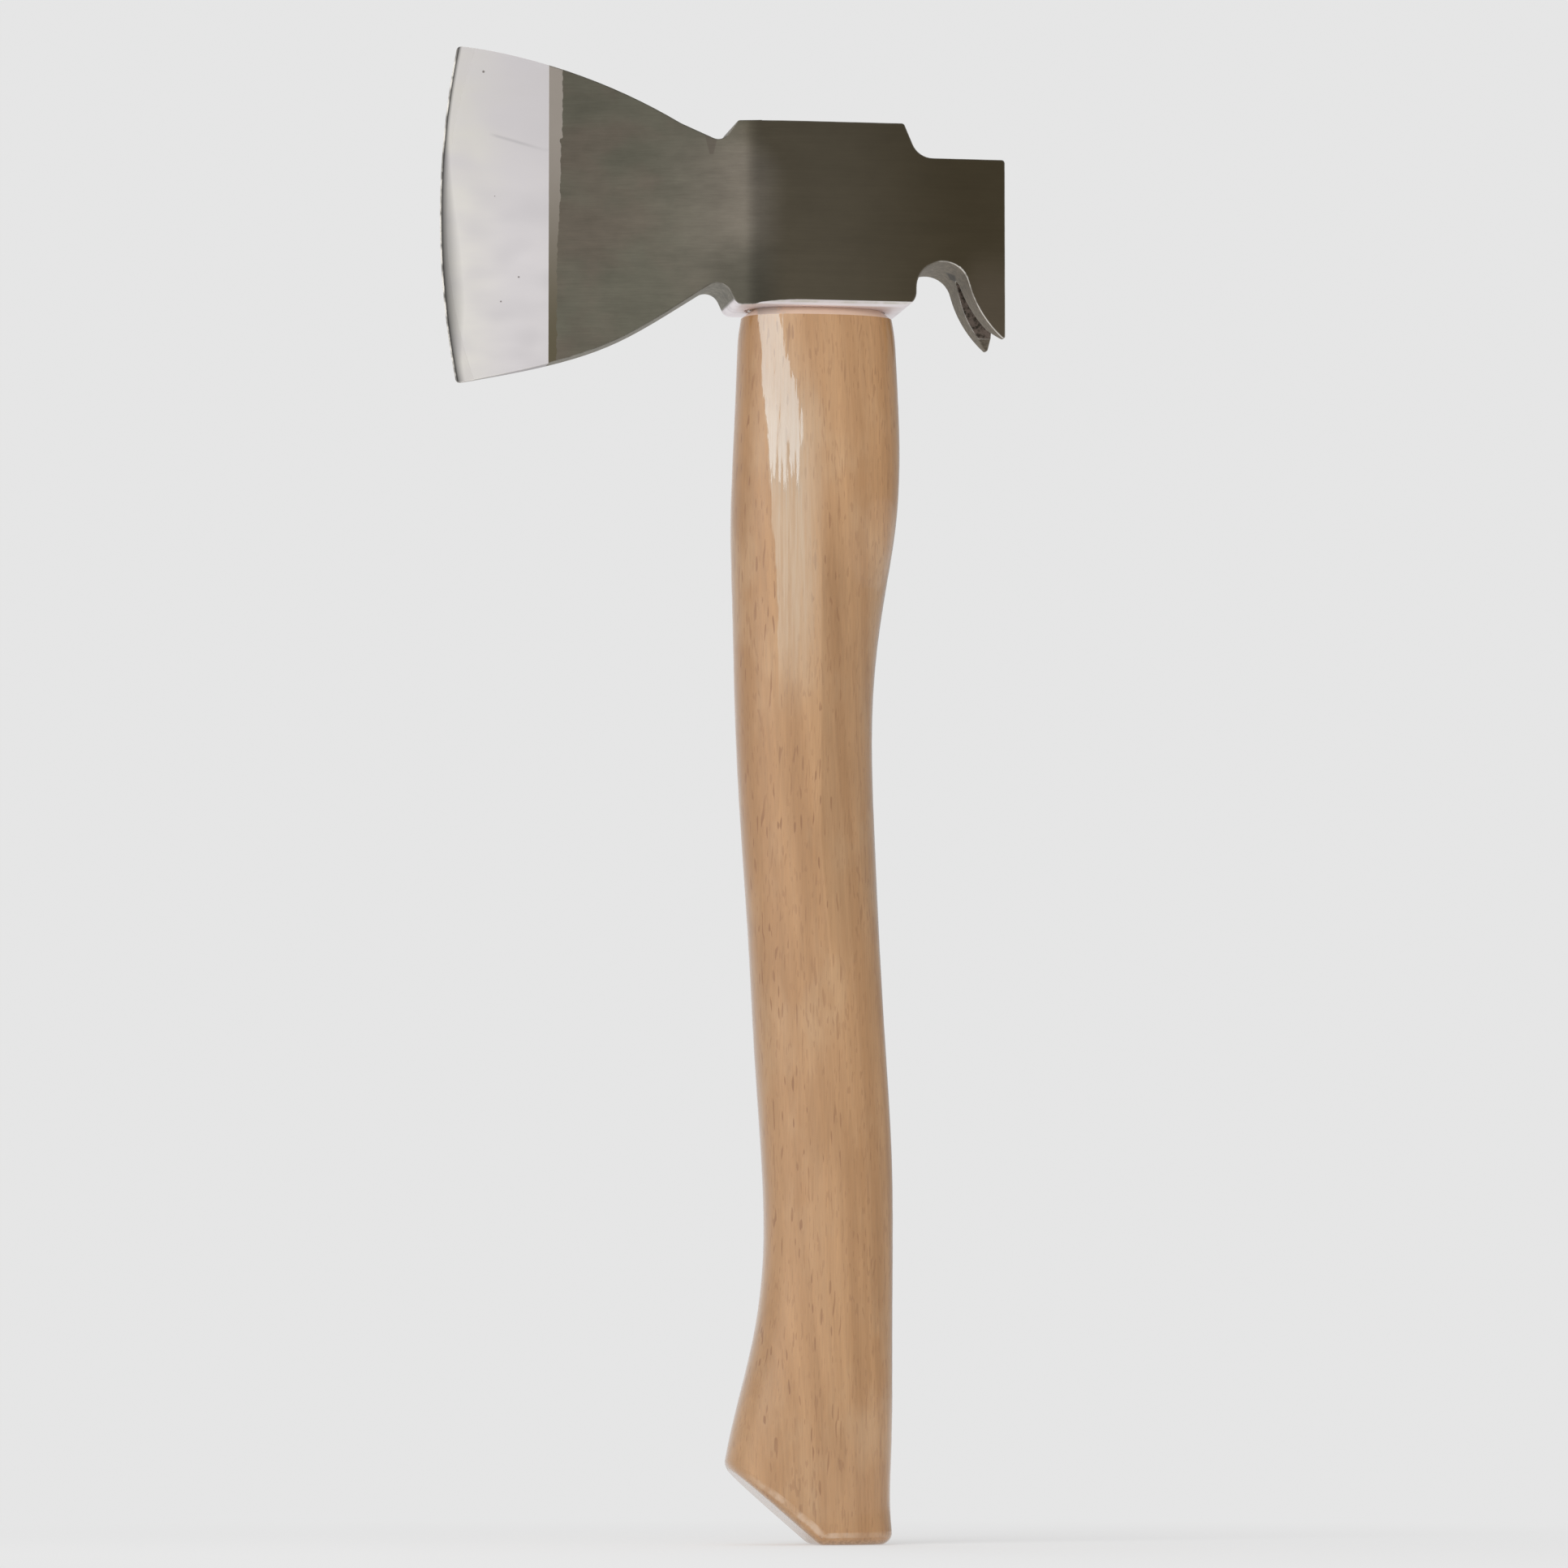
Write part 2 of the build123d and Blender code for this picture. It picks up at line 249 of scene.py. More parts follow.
BEVEL_AT_EDGE = (0.70, 0.675, 0.63)
BEVEL_AT_SHOULDER = (0.665, 0.635, 0.64)
SMUDGE_TONE = (0.60, 0.575, 0.585)
TARNISH_TONE = (0.575, 0.550, 0.560)
SCUFF_TONE = (0.42, 0.40, 0.41)
PIT_TONE = (0.13, 0.11, 0.10)
RUBBED_GLINT_TONE = (0.72, 0.69, 0.64)
GLINT_WAY = (-0.8, 0.0, -0.6)  # edges that face this way are rubbed most and get the most painted highlight

# Pits in the bevel: how far behind the cutting edge's foremost point, how far above its
# lowest point, and radius
BEVEL_PITS = (
    (11.4 * MM, 83.6 * MM, 0.45 * MM),
    (20.9 * MM, 28.4 * MM, 0.35 * MM),
    (16.2 * MM, 21.8 * MM, 0.32 * MM),
    (14.5 * MM, 50.1 * MM, 0.20 * MM),
)


class ForgedSteel(Shader):
    """Forged, brushed and lacquered, with a ground bevel and a honed edge left bright."""

    def __init__(self, name):
        super().__init__(name)
        # Masks: flat sides, rims and notches round them, ground bevel, honed cone at the edge
        self.side = self.ramp(self.size(self.normal_y), 0.35, 0.75)
        self.rim = self.minus(1.0, self.side)
        self.bevel = self.ramp(self.x, SHOULDER_X + 0.05 * MM, SHOULDER_X - 0.05 * MM)
        steepness = self.size(self.math("DIVIDE", self.normal_x, self.normal_y))
        self.honed = self.ramp(steepness, 0.16, 0.20)
        self.past_neck = self.ramp(self.x, NECK_X - 5 * MM, NECK_X + 15 * MM)
        # Textures: brush marks along X, coarser ones, clouds, and forged scale
        self.brushed = self.noise((60, 900, 2600), detail=5, roughness=0.65)
        self.coarse = self.noise((22, 200, 420), detail=4, roughness=0.6, seed=7.0)
        self.cloud = self.noise((55, 55, 70), seed=11.0)
        self.scale = self.noise((800, 800, 800), detail=6, roughness=0.7, seed=5.0)
        # A rounded normal, which differs from the true one at edges
        edge_finder = self.new("ShaderNodeBevel", samples=4)
        edge_finder.inputs["Radius"].default_value = 0.5 * MM
        self.rounded = edge_finder.outputs[0]

    def brush_marks_and_painted_shade(self):
        """Brush marks along X and blotches, fainter past the neck, with painted shade: paler toward
        the heel, darker toward the tip.
        """
        marks = self.plus(self.times(self.brushed, 0.55), self.times(self.coarse, 0.45))
        mottle = self.noise((95, 130, 150), detail=4, roughness=0.6, seed=47.0)
        marks = self.plus(self.swing(marks, 0.115), self.swing(mottle, 0.10))
        marks = self.times(marks, self.blend(self.past_neck, 1.0, 0.45))
        # Painted shade: paler toward the heel, darker toward the tip
        height = self.ramp(self.z, HEEL_Z + 2.1 * MM, TIP_Z - 6.4 * MM, 1.12, 0.82, smooth=False)
        return self.times(self.plus(marks, 1.0), height)

    def lacquered_side(self):
        """Painted highlight just before the crease at the neck, and darkest at the poll."""
        tone = self.mix(self.ramp(self.cloud, 0.35, 0.65), BLADE_BROWN, BLADE_GREEN)
        # Painted highlight where the cheek curves into the neck
        painted_neck_highlight = self.times(
            self.ramp(self.x, NECK_X - 34 * MM, NECK_X - 2 * MM),
            self.ramp(self.z, EYE_BOTTOM_Z - 7 * MM, EYE_BOTTOM_Z + 23 * MM, 0.15, 1.0),
            self.ramp(self.z, EYE_TOP_Z + 1.5 * MM, EYE_TOP_Z - 10.5 * MM),
        )
        tone = self.mix(painted_neck_highlight, tone, NECK_HIGHLIGHT_TONE)
        low_neck = self.times(
            self.ramp(self.x, NECK_X - 22 * MM, NECK_X - 4 * MM),
            self.ramp(self.z, EYE_BOTTOM_Z + 25 * MM, EYE_BOTTOM_Z + 5 * MM),
        )
        tone = self.mix(self.times(low_neck, 0.9), tone, LOW_NECK_TONE)
        # Near the top, the eye's tone reaches toward the top notch
        reach = self.ramp(self.z, EYE_TOP_Z - 14.5 * MM, EYE_TOP_Z - 1.5 * MM, 0.0, 6.5 * MM)
        on_eye = self.ramp(self.plus(self.x, reach), NECK_X - 3 * MM, NECK_X + 8 * MM)
        tone = self.mix(on_eye, tone, EYE_TONE)
        tone = self.mix(self.ramp(self.x, NECK_X + 14 * MM, POLL_X - 8 * MM), tone, POLL_TONE)
        on_tine = self.times(
            self.ramp(self.x, CLAW_X + 2 * MM, CLAW_X + 10 * MM),
            self.ramp(self.z, EYE_BOTTOM_Z + 19 * MM, EYE_BOTTOM_Z + 3 * MM),
        )
        tone = self.mix(self.times(on_tine, 0.7), tone, TINE_TONE)
        tone = self.shade(tone, self.brush_marks_and_painted_shade())
        return self.mix(self.times(self.lacquer_run(), 0.45), tone, RUN_TONE)

    def lacquer_run(self):
        """Mask of a run of lacquer that set beside the top notch, narrower downward."""
        low = EYE_TOP_Z - 9 * MM
        half_width = self.ramp(self.z, low, low + 5 * MM, 0.5 * MM, 1.7 * MM, smooth=False)
        outside = self.minus(self.size(self.minus(self.x, RUN_X)), half_width)
        return self.times(
            self.ramp(outside, 0.2 * MM, -0.2 * MM),
            self.ramp(self.z, low - 0.3 * MM, low + 0.3 * MM),
        )

    def forged_skin(self):
        """Mottled scale of the rims and notches, browner toward the claw."""
        skin = self.mix(self.ramp(self.scale, 0.3, 0.7), FORGED_DARK, FORGED_PALE)
        toward_claw = self.ramp(self.x, CLAW_X - 14 * MM, CLAW_X - 8 * MM)
        return self.mix(toward_claw, skin, self.tint(skin, CLAW_TINT))

    def with_shaded_slot(self, colour):
        """The claw's slot has mottled forge scale on its walls, darkened as painted shade, and a pit
        at the top of its throat painted dark as its shade.
        """
        in_slot = self.times(
            self.ramp(self.size(self.y), 13.3 * MM, 13.0 * MM),
            self.ramp(self.x, CLAW_X, CLAW_X + 1 * MM),
        )
        shaded_walls = self.mix(self.ramp(self.scale, 0.35, 0.6), SHADED_SLOT_DARK, SHADED_SLOT_PALE)
        colour = self.mix(self.times(in_slot, self.side), colour, shaded_walls)
        # The pit is a lozenge, almost three times as wide as tall, painted dark for the shade inside
        # it
        off_pit = self.plus(
            self.size(self.times(self.y, 0.35)),
            self.size(self.minus(self.z, EYE_BOTTOM_Z + 10.3 * MM)),
        )
        pit = self.times(
            self.ramp(off_pit, 1.7 * MM, 0.9 * MM),
            in_slot,
            self.ramp(self.x, POLL_X - 4 * MM, POLL_X - 5 * MM),
        )
        return self.mix(self.times(pit, 0.8), colour, PIT_SHADE_TONE)

    def bare_strip(self):
        """Mask of the strip beside the bevel that the lacquer left bare.

        It is wider higher up, with a small step near the tip, and its end is ragged.
        """
        widens = HEEL_Z + 30.1 * MM
        step = HEEL_Z + 65.6 * MM
        wobble = self.noise((40, 40, 500), detail=4, seed=3.0)
        end = self.plus(
            self.ramp(self.z, widens, widens + 24 * MM, SHOULDER_X + 2.2 * MM, SHOULDER_X + 3.1 * MM),
            self.ramp(self.z, step, step + 0.3 * MM, 0.0, 0.5 * MM),
            self.swing(wobble, 0.25 * MM),
        )
        return self.ramp(self.minus(self.x, end), 0.08 * MM, -0.08 * MM)

    def eye_chamfer(self):
        """Mask of the ground chamfer under the eye."""
        return self.times(
            self.ramp(self.z, EYE_BOTTOM_Z + 1.9 * MM, EYE_BOTTOM_Z + 1.3 * MM),
            self.ramp(self.normal_z, -0.3, -0.6),
            self.ramp(self.x, NECK_X - 9.2 * MM, NECK_X - 7.2 * MM),
            self.ramp(self.x, CLAW_X - 8 * MM, CLAW_X - 9 * MM),
        )

    def behind_bevel(self):
        """Everything behind the bevel: lacquered sides, forged skin, bare strip and chamfer."""
        skin = self.forged_skin()
        colour = self.with_shaded_slot(self.mix(self.rim, self.lacquered_side(), skin))
        strip_tone = self.mix(
            self.ramp(self.z, HEEL_Z + 7.1 * MM, TIP_Z - 18.4 * MM), STRIP_LOW, STRIP_HIGH
        )
        colour = self.mix(self.bare_strip(), colour, self.mix(self.rim, strip_tone, skin))
        bright = self.mix(self.ramp(self.coarse, 0.35, 0.65), CHAMFER_DARK, CHAMFER_PALE)
        return self.mix(self.eye_chamfer(), colour, bright)

    def scuff(self):
        """Mask of a soft scuff that crosses the bevel, sloping down toward the cheek."""
        start = EDGE_X + 13.5 * MM
        end = EDGE_X + 27.5 * MM
        high_z = HEEL_Z + 66.7 * MM
        line_z = self.ramp(self.x, start, end, high_z, high_z - 4 * MM, smooth=False)
        off_line = self.size(self.minus(self.z, line_z))
        return self.times(
            self.ramp(off_line, 0.7 * MM, 0.0, 0.0, 0.55),
            self.ramp(self.x, start - 1 * MM, start + 2 * MM),
            self.ramp(self.x, end + 0.5 * MM, end - 7 * MM, 0.3, 1.0),
        )

    def edge_polish(self):
        """How bright the bevel is: dark along the edge, and full a few millimetres inside it.

        The dark band widens from the tip toward the heel and narrows again at the heel.
        """
        darkest = 0.55 * MM
        inset = self.minus(EDGE_RADIUS, self.distance(EDGE_CENTRE_X, EDGE_MIDDLE_Z))
        width = self.math(
            "MINIMUM",
            self.ramp(self.z, TIP_Z - 18.4 * MM, HEEL_Z + 30.1 * MM, 0.8 * MM, 5.0 * MM),
            self.ramp(self.z, HEEL_Z + 2.1 * MM, HEEL_Z + 24.1 * MM, 1.9 * MM, 5.0 * MM),
        )
        polish = self.math("DIVIDE", self.minus(inset, darkest), width, clamp=True)
        polish = self.plus(self.times(self.math("POWER", polish, 0.6), 0.95), 0.05)
        return self.times(polish, self.blend(self.honed, 1.0, 0.80))

    def ground_bevel(self):
        """Bright steel with smudges, tarnish, a scuff and a few pits, dark at the honed edge, with
        painted shade toward the tip.
        """
        toward_shoulder = self.ramp(self.x, EDGE_X + 5 * MM, SHOULDER_X - 8 * MM)
        colour = self.mix(toward_shoulder, BEVEL_AT_EDGE, BEVEL_AT_SHOULDER)
        # Painted shade: darker toward the tip
        painted_shade_toward_tip = self.ramp(self.z, HEEL_Z + 27.1 * MM, TIP_Z - 6.4 * MM, 1.02, 0.86)
        colour = self.shade(colour, painted_shade_toward_tip)
        smudge = self.noise((32, 160, 130), roughness=0.55, seed=17.0)
        colour = self.mix(self.ramp(smudge, 0.30, 0.75, 0.0, 0.45), colour, SMUDGE_TONE)
        tarnish = self.noise((60, 60, 95), detail=1, seed=43.0)
        colour = self.mix(self.ramp(tarnish, 0.42, 0.75, 0.0, 0.7), colour, TARNISH_TONE)
        colour = self.mix(self.scuff(), colour, SCUFF_TONE)
        for behind_edge, above_heel, radius in BEVEL_PITS:
            off_pit = self.distance(EDGE_X + behind_edge, HEEL_Z + above_heel)
            pit = self.ramp(off_pit, radius, 0.4 * radius, 0.0, 0.85)
            colour = self.mix(pit, colour, PIT_TONE)
        return self.shade(colour, self.edge_polish())

    def rubbed_and_glinting_edges(self):
        """Mask of the bare metal on edges and of a painted highlight along them, mostly on those that
        face -X and down.
        """
        alike = self.vector_math("DOT_PRODUCT", self.normal, self.rounded)
        sharp_edge = self.ramp(alike, 0.985, 0.90)
        steepness = self.size(self.normal_y)
        round_edge = self.times(
            self.ramp(steepness, 0.15, 0.4),
            self.ramp(steepness, 0.96, 0.85),
            self.ramp(self.size(self.y), 13.2 * MM, 13.4 * MM),
        )
        on_edge = self.math("MAXIMUM", sharp_edge, round_edge)
        patchy = self.noise((260, 260, 260), detail=4, seed=23.0)
        facing = self.vector_math("DOT_PRODUCT", self.rounded, GLINT_WAY)
        return self.times(
            on_edge,
            self.ramp(patchy, 0.38, 0.6, 0.3, 1.0),
            self.ramp(facing, 0.1, 0.45, 0.15, 1.0),
        )

    def relief(self):
        """Normal with brush marks or scale, and with the crease at the neck eased out."""
        marks = self.plus(self.times(self.brushed, 0.7), self.times(self.coarse, 0.5))
        forged = self.times(self.scale, 8.0)
        height = self.blend(self.rim, marks, forged)
        height = self.times(height, self.blend(self.bevel, 1.0, 0.3))
        height = self.times(height, self.blend(self.times(self.past_neck, self.side), 1.0, 0.55))
        before_crease = self.ramp(self.x, NECK_X - 5 * MM, NECK_X, 1.0, 0.0)
        flatten = self.blend(self.side, 1.0, before_crease)
        rounded_x, rounded_y, rounded_z = self.split(self.rounded)
        eased = self.join(self.times(rounded_x, flatten), rounded_y, rounded_z)
        eased = self.vector_math("NORMALIZE", eased)
        base = self.turn(self.bevel, eased, self.normal)
        return self.bump(height, 0.02 * MM, strength=0.5, normal=base)


def steel_material():
    s = ForgedSteel("forged_steel")
    colour = s.mix(s.bevel, s.behind_bevel(), s.ground_bevel())
    # Rubbed bare metal on edges, with a painted highlight along them
    colour = s.mix(s.rubbed_and_glinting_edges(), colour, RUBBED_GLINT_TONE)
    lacquer_roughness = s.blend(s.rim, s.ramp(s.cloud, 0.3, 0.7, 0.38, 0.46), 0.55)
    bevel_roughness = s.blend(s.honed, 0.32, 0.6)
    roughness = s.blend(s.bevel, lacquer_roughness, bevel_roughness)
    s.set(base_color=colour, metallic=1.0, roughness=roughness, normal=s.relief())
    return s.material


# ---------------------------------------------------------------- beech of the handle

EARLY_WOOD = (0.550, 0.308, 0.142)
LATE_WOOD = (0.450, 0.236, 0.098)
BLOTCH_TONE = (0.410, 0.210, 0.082)
MILKY_TONE = (0.590, 0.375, 0.205)
FLECK_TONE = (0.235, 0.094, 0.031)
PORE_TONE = (0.270, 0.118, 0.044)
RIM_HIGHLIGHT_TONE = (0.72, 0.53, 0.38)
COLLAR_HIGHLIGHT_TONE = (0.82, 0.61, 0.48)
END_GRAIN_DARK = (0.34, 0.19, 0.09)
END_GRAIN_PALE = (0.54, 0.33, 0.18)
HIGHLIGHT_TAIL_TONE = (0.600, 0.435, 0.290)
SHEEN_TINT = (0.85, 0.94, 1.06)
FLAT_NORMAL = tuple(direction(-26, 5))  # the way that the flat in the varnish faces


class Beech(Shader):
    """Varnished beech with its grain along Z."""

    def __init__(self, name, tone):
        super().__init__(name)
        self.tone = tone
        self.fibre = self.noise((2200, 2200, 90), roughness=0.6, seed=4.0)
        self.find_hand_facet()
        self.find_flecks()
        self.find_collar()
        self.find_varnish_flat()

    def paint(self, colour):
        """A colour in this piece's own tone."""
        return tuple(part * self.tone for part in colour)

    def find_hand_facet(self):
        """A hand-shaved facet: the surface breaks along a line up the middle of the grip."""
        low = 10 * MM
        high = 152 * MM
        line_x = self.ramp(self.z, low + 5 * MM, low + 50 * MM, 1.8 * MM, -1.6 * MM)
        past_line = self.minus(self.x, line_x)
        on_grip = self.times(
            self.ramp(self.z, low, low + 35 * MM), self.ramp(self.z, high, high - 30 * MM)
        )
        self.facet_depth = self.times(self.math("MAXIMUM", past_line, 0.0), on_grip)
        # Painted shade on the far side of the facet line
        self.facet_shade = self.times(
            self.ramp(past_line, -0.5 * MM, 0.7 * MM),
            self.ramp(past_line, 10 * MM, 3 * MM),
            on_grip,
            self.ramp(self.normal_y, 0.0, -0.3),
        )

    def find_flecks(self):
        """Masks of the medullary flecks, short dark dashes along the grain, and fine pores."""
        patch = self.noise((130, 130, 45), detail=2, seed=6.0)
        fleck = self.noise((1300, 1300, 170), detail=0, seed=13.0)
        self.flecks = self.times(
            self.ramp(fleck, 0.70, 0.76),
            self.ramp(patch, 0.38, 0.60, 0.35, 1.0),
            self.ramp(self.x, -4 * MM, 8 * MM, 1.0, 0.4),
        )
        pore = self.noise((2000, 2000, 300), detail=0, seed=37.0)
        self.pores = self.times(
            self.ramp(pore, 0.64, 0.72), self.ramp(patch, 0.65, 0.35, 0.3, 1.0)
        )

    def find_collar(self):
        """Mask of the chamfer round the top of the handle."""
        self.collar = self.times(
            self.ramp(self.z, COLLAR_Z, COLLAR_Z + 0.3 * MM), self.ramp(self.normal_z, 0.3, 0.6)
        )

    def find_varnish_flat(self):
        """A long flat in the varnish of the swell, toward -X, with a pale tail of painted highlight
        under it.

        It narrows downward from the -X side, and its +X side leans in at the top. Streaks
        along the grain break up its +X side and its lower end.
        """
        top = 198 * MM
        low = 116 * MM
        ragged = self.noise((330, 330, 60), detail=4, roughness=0.65, seed=27.0)
        across = self.plus(self.x, self.swing(ragged, 0.6 * MM))
        start = self.ramp(self.z, top, low, -18.2 * MM, -13.2 * MM, smooth=False)
        end = self.ramp(self.z, top - 30 * MM, top - 2 * MM, -6.5 * MM, -12.2 * MM)
        past_start = self.ramp(self.minus(across, start), -0.3 * MM, 0.3 * MM)
        before_end = self.minus(end, across)
        streaks = self.noise((1300, 1300, 45), roughness=0.6, seed=33.0)
        depth = self.times(
            self.ramp(before_end, -2.5 * MM, 2.5 * MM),
            self.ramp(self.z, low + 12 * MM, low + 56 * MM),
        )
        depth = self.plus(depth, self.swing(streaks, 0.40))
        self.flat = self.times(
            past_start,
            self.ramp(depth, 0.20, 0.80),
            self.ramp(self.normal_y, -0.2, -0.4),
        )
        # Painted highlight: a pale streaky tail under the flat
        self.highlight_tail = self.times(
            past_start,
            self.ramp(before_end, -7.5 * MM, 1.5 * MM),
            self.ramp(self.z, low - 32 * MM, low + 6 * MM),
            self.ramp(self.z, top - 2 * MM, top - 48 * MM, 0.3, 1.0),
            self.ramp(streaks, 0.3, 0.7, 0.55, 1.0),
            self.ramp(self.y, 0.0, -2 * MM),
        )

    def grain(self):
        """Year rings, shells round a pith beyond the far side, with blotches and pale patches."""
        bend = self.noise((18, 18, 5), detail=2, seed=1.0)
        ring = self.plus(
            self.times(self.x, 0.86),
            self.times(self.y, 0.5),
            self.times(self.z, 0.06),
            self.times(bend, 9 * MM),
        )
        wide = self.join(self.times(ring, 230), self.times(self.z, 3), 0.0)
        narrow = self.join(self.times(ring, 1000), self.times(self.z, 9), 5.0)
        bands = self.noise_at(wide, detail=3)
        threads = self.noise_at(narrow, detail=2)
        early_to_late = self.ramp(bands, 0.32, 0.68)
        colour = self.mix(early_to_late, self.paint(EARLY_WOOD), self.paint(LATE_WOOD))
        blotch = self.noise((90, 90, 22), seed=9.0)
        blotched = self.ramp(blotch, 0.42, 0.68, 0.0, 0.6)
        colour = self.mix(blotched, colour, self.paint(BLOTCH_TONE))
        milky = self.noise((75, 75, 34), roughness=0.55, seed=41.0)
        colour = self.mix(self.ramp(milky, 0.50, 0.72, 0.0, 0.45), colour, self.paint(MILKY_TONE))
        level = self.times(
            self.ramp(self.fibre, 0.25, 0.75, 0.92, 1.08, smooth=False),
            self.ramp(threads, 0.3, 0.7, 1.035, 0.95, smooth=False),
            self.painted_shade_and_light(),
        )
        return self.shade(colour, level)

    def painted_shade_and_light(self):
        """Painted shade and light: darker where it faces -X and on the facet; paler above and below
        the grip toward +X.
        """
        above_grip = self.ramp(self.z, 125 * MM, 140 * MM)
        below_grip = self.ramp(self.z, -60 * MM, -85 * MM)
        pale = self.times(
            self.ramp(self.normal_x, 0.2, 0.45),
            self.ramp(self.normal_x, 0.85, 0.6),
            self.math("MAXIMUM", above_grip, below_grip),
        )
        return self.times(
            self.ramp(self.normal_x, -0.75, -0.3, 0.87, 1.0),
            self.blend(pale, 1.0, 1.14),
            self.blend(self.facet_shade, 1.0, 0.90),
        )

    def painted_rim_highlight(self):
        """Mask of a patchy painted highlight along the rim of the butt, where it rounds over."""
        broken = self.noise((220, 220, 220), seed=29.0)
        return self.times(
            self.ramp(self.normal_z, -0.05, -0.20),
            self.ramp(self.normal_z, -0.50, -0.34),
            self.ramp(self.z, BUTT_RIM_Z, BUTT_RIM_Z - 6 * MM),
            self.ramp(self.x, -24 * MM, -12 * MM),
            self.ramp(self.x, -2 * MM, 12 * MM, 1.0, 0.35),
            self.ramp(broken, 0.35, 0.6, 0.15, 0.7),
        )

    def with_end_grain(self, colour):
        """Speckled on the cut of the butt and on top of the tenon."""
        speckle = self.noise((1500, 1500, 1500), detail=2, seed=31.0)
        end_tone = self.mix(
            self.ramp(speckle, 0.35, 0.65), self.paint(END_GRAIN_DARK), self.paint(END_GRAIN_PALE)
        )
        facing_out = self.ramp(self.size(self.normal_z), 0.55, 0.72)
        end = self.times(facing_out, self.minus(1.0, self.collar), 0.75)
        return self.mix(end, colour, end_tone)

    def colour(self):
        colour = self.grain()
        colour = self.mix(self.times(self.flecks, 0.62), colour, self.paint(FLECK_TONE))
        colour = self.mix(self.times(self.pores, 0.33), colour, self.paint(PORE_TONE))
        # Painted highlight along the rounded rim of the butt
        colour = self.mix(self.painted_rim_highlight(), colour, self.paint(RIM_HIGHLIGHT_TONE))
        # Painted highlight on the chamfer round the top of the handle
        colour = self.mix(self.times(self.collar, 0.8), colour, self.paint(COLLAR_HIGHLIGHT_TONE))
        colour = self.with_end_grain(colour)
        # Painted highlight: the pale tail under the varnish flat
        colour = self.mix(self.highlight_tail, colour, self.paint(HIGHLIGHT_TAIL_TONE))
        # Painted highlight: colour tinted on the varnish flat
        return self.mix(self.math("POWER", self.flat, 3.0), colour, self.tint(colour, SHEEN_TINT))

    def varnish_height(self):
        """Waves and ripples of the varnish, and the facet under it."""
        waves = self.noise((120, 120, 20), detail=2, seed=19.0)
        ripples = self.noise((420, 420, 34), detail=2, seed=21.0)
        height = self.plus(self.times(waves, 0.12 * MM), self.times(ripples, 0.030 * MM))
        return self.minus(height, self.times(self.facet_depth, 0.16))

    def wood_height(self, varnish):
        """The same with raised fibres and sunken flecks."""
        height = self.plus(varnish, self.times(self.fibre, 0.012 * MM))
        return self.minus(height, self.times(self.flecks, 0.02 * MM))

    def varnish_base(self):
        """Normal of the varnish: turned to the lamp on the flat, and tilted down round it."""
        turned = self.turn(self.times(self.flat, 0.65), self.normal, FLAT_NORMAL)
        outside = self.times(
            self.minus(1.0, self.flat), self.ramp(self.x, -4 * MM, -8 * MM), -0.35
        )
        tilted = self.vector_math("ADD", turned, self.join(0.0, 0.0, outside))
        return self.vector_math("NORMALIZE", tilted)


def beech_material(name, tone=1.0):
    s = Beech(name, tone)
    varnish = s.varnish_height()
    wood = s.wood_height(varnish)
    roughness = s.ramp(s.fibre, 0.2, 0.8, 0.40, 0.52)
    s.set(base_color=s.colour(), roughness=roughness, normal=s.bump(wood, 1.0))
    s.set(coat_weight=1.0, coat_roughness=0.10, coat_ior=1.5)
    s.set(coat_normal=s.bump(varnish, 1.0, normal=s.varnish_base()))
    return s.material


# ---------------------------------------------------------------- steel of the small wedges

FILED_DARK = (0.33, 0.31, 0.29)
FILED_PALE = (0.50, 0.48, 0.46)


def plain_steel_material():
    s = Shader("wedge_steel")
    grain = s.noise((500, 3000, 500), detail=4, seed=8.0)
    colour = s.mix(s.ramp(grain, 0.3, 0.7), FILED_DARK, FILED_PALE)
    s.set(base_color=colour, metallic=1.0, roughness=s.ramp(grain, 0.3, 0.7, 0.35, 0.5))
    s.set(normal=s.bump(grain, 0.03 * MM, strength=0.6))
    return s.material


# ---------------------------------------------------------------- studio

VIEW_CENTRE = Vector((-9.7 * MM, 0.0, 72 * MM))
CAMERA_WAY = direction(-9.0, -4.6)
CAMERA_DISTANCE = 2.0
LENS_MM = 172.2
SWELL = Vector((-2.0 * MM, 0.0, 170 * MM))  # middle of the handle's thick upper part
BACKDROP = 0.79
# The world's brightness as light, by the X part of the direction it comes from
WORLD_LEVELS = ((-1.0, 0.32), (-0.60, 0.52), (-0.12, 0.88), (0.45, 0.46), (1.0, 0.40))
FLOOR_RADIUS = 8.0
FLOOR_GAP = 0.05 * MM
FLOOR_FADE = (0.06, 0.40)  # the floor turns into the backdrop between these distances


def grey(level):
    return (level, level, level, 1.0)


def add_camera():
    data = bpy.data.cameras.new("camera")
    data.lens = LENS_MM
    data.clip_end = 50.0
    camera = bpy.data.objects.new("camera", data)
    camera.location = VIEW_CENTRE + CAMERA_WAY * CAMERA_DISTANCE
    camera.rotation_euler = CAMERA_WAY.to_track_quat("Z", "Y").to_euler()
    bpy.context.scene.collection.objects.link(camera)
    bpy.context.scene.camera = camera


def add_softbox(name, way, distance, width, height, radiance):
    """A rectangular lamp that faces the swell of the handle; radiance is its face's brightness."""
    data = bpy.data.lights.new(name, "AREA")
    data.shape = "RECTANGLE"
    data.size = width
    data.size_y = height
    data.energy = radiance * width * height * pi
    lamp = bpy.data.objects.new(name, data)
    lamp.location = SWELL + way * distance
    lamp.rotation_euler = way.to_track_quat("Z", "Y").to_euler()
    bpy.context.scene.collection.objects.link(lamp)
    lamp.visible_camera = False


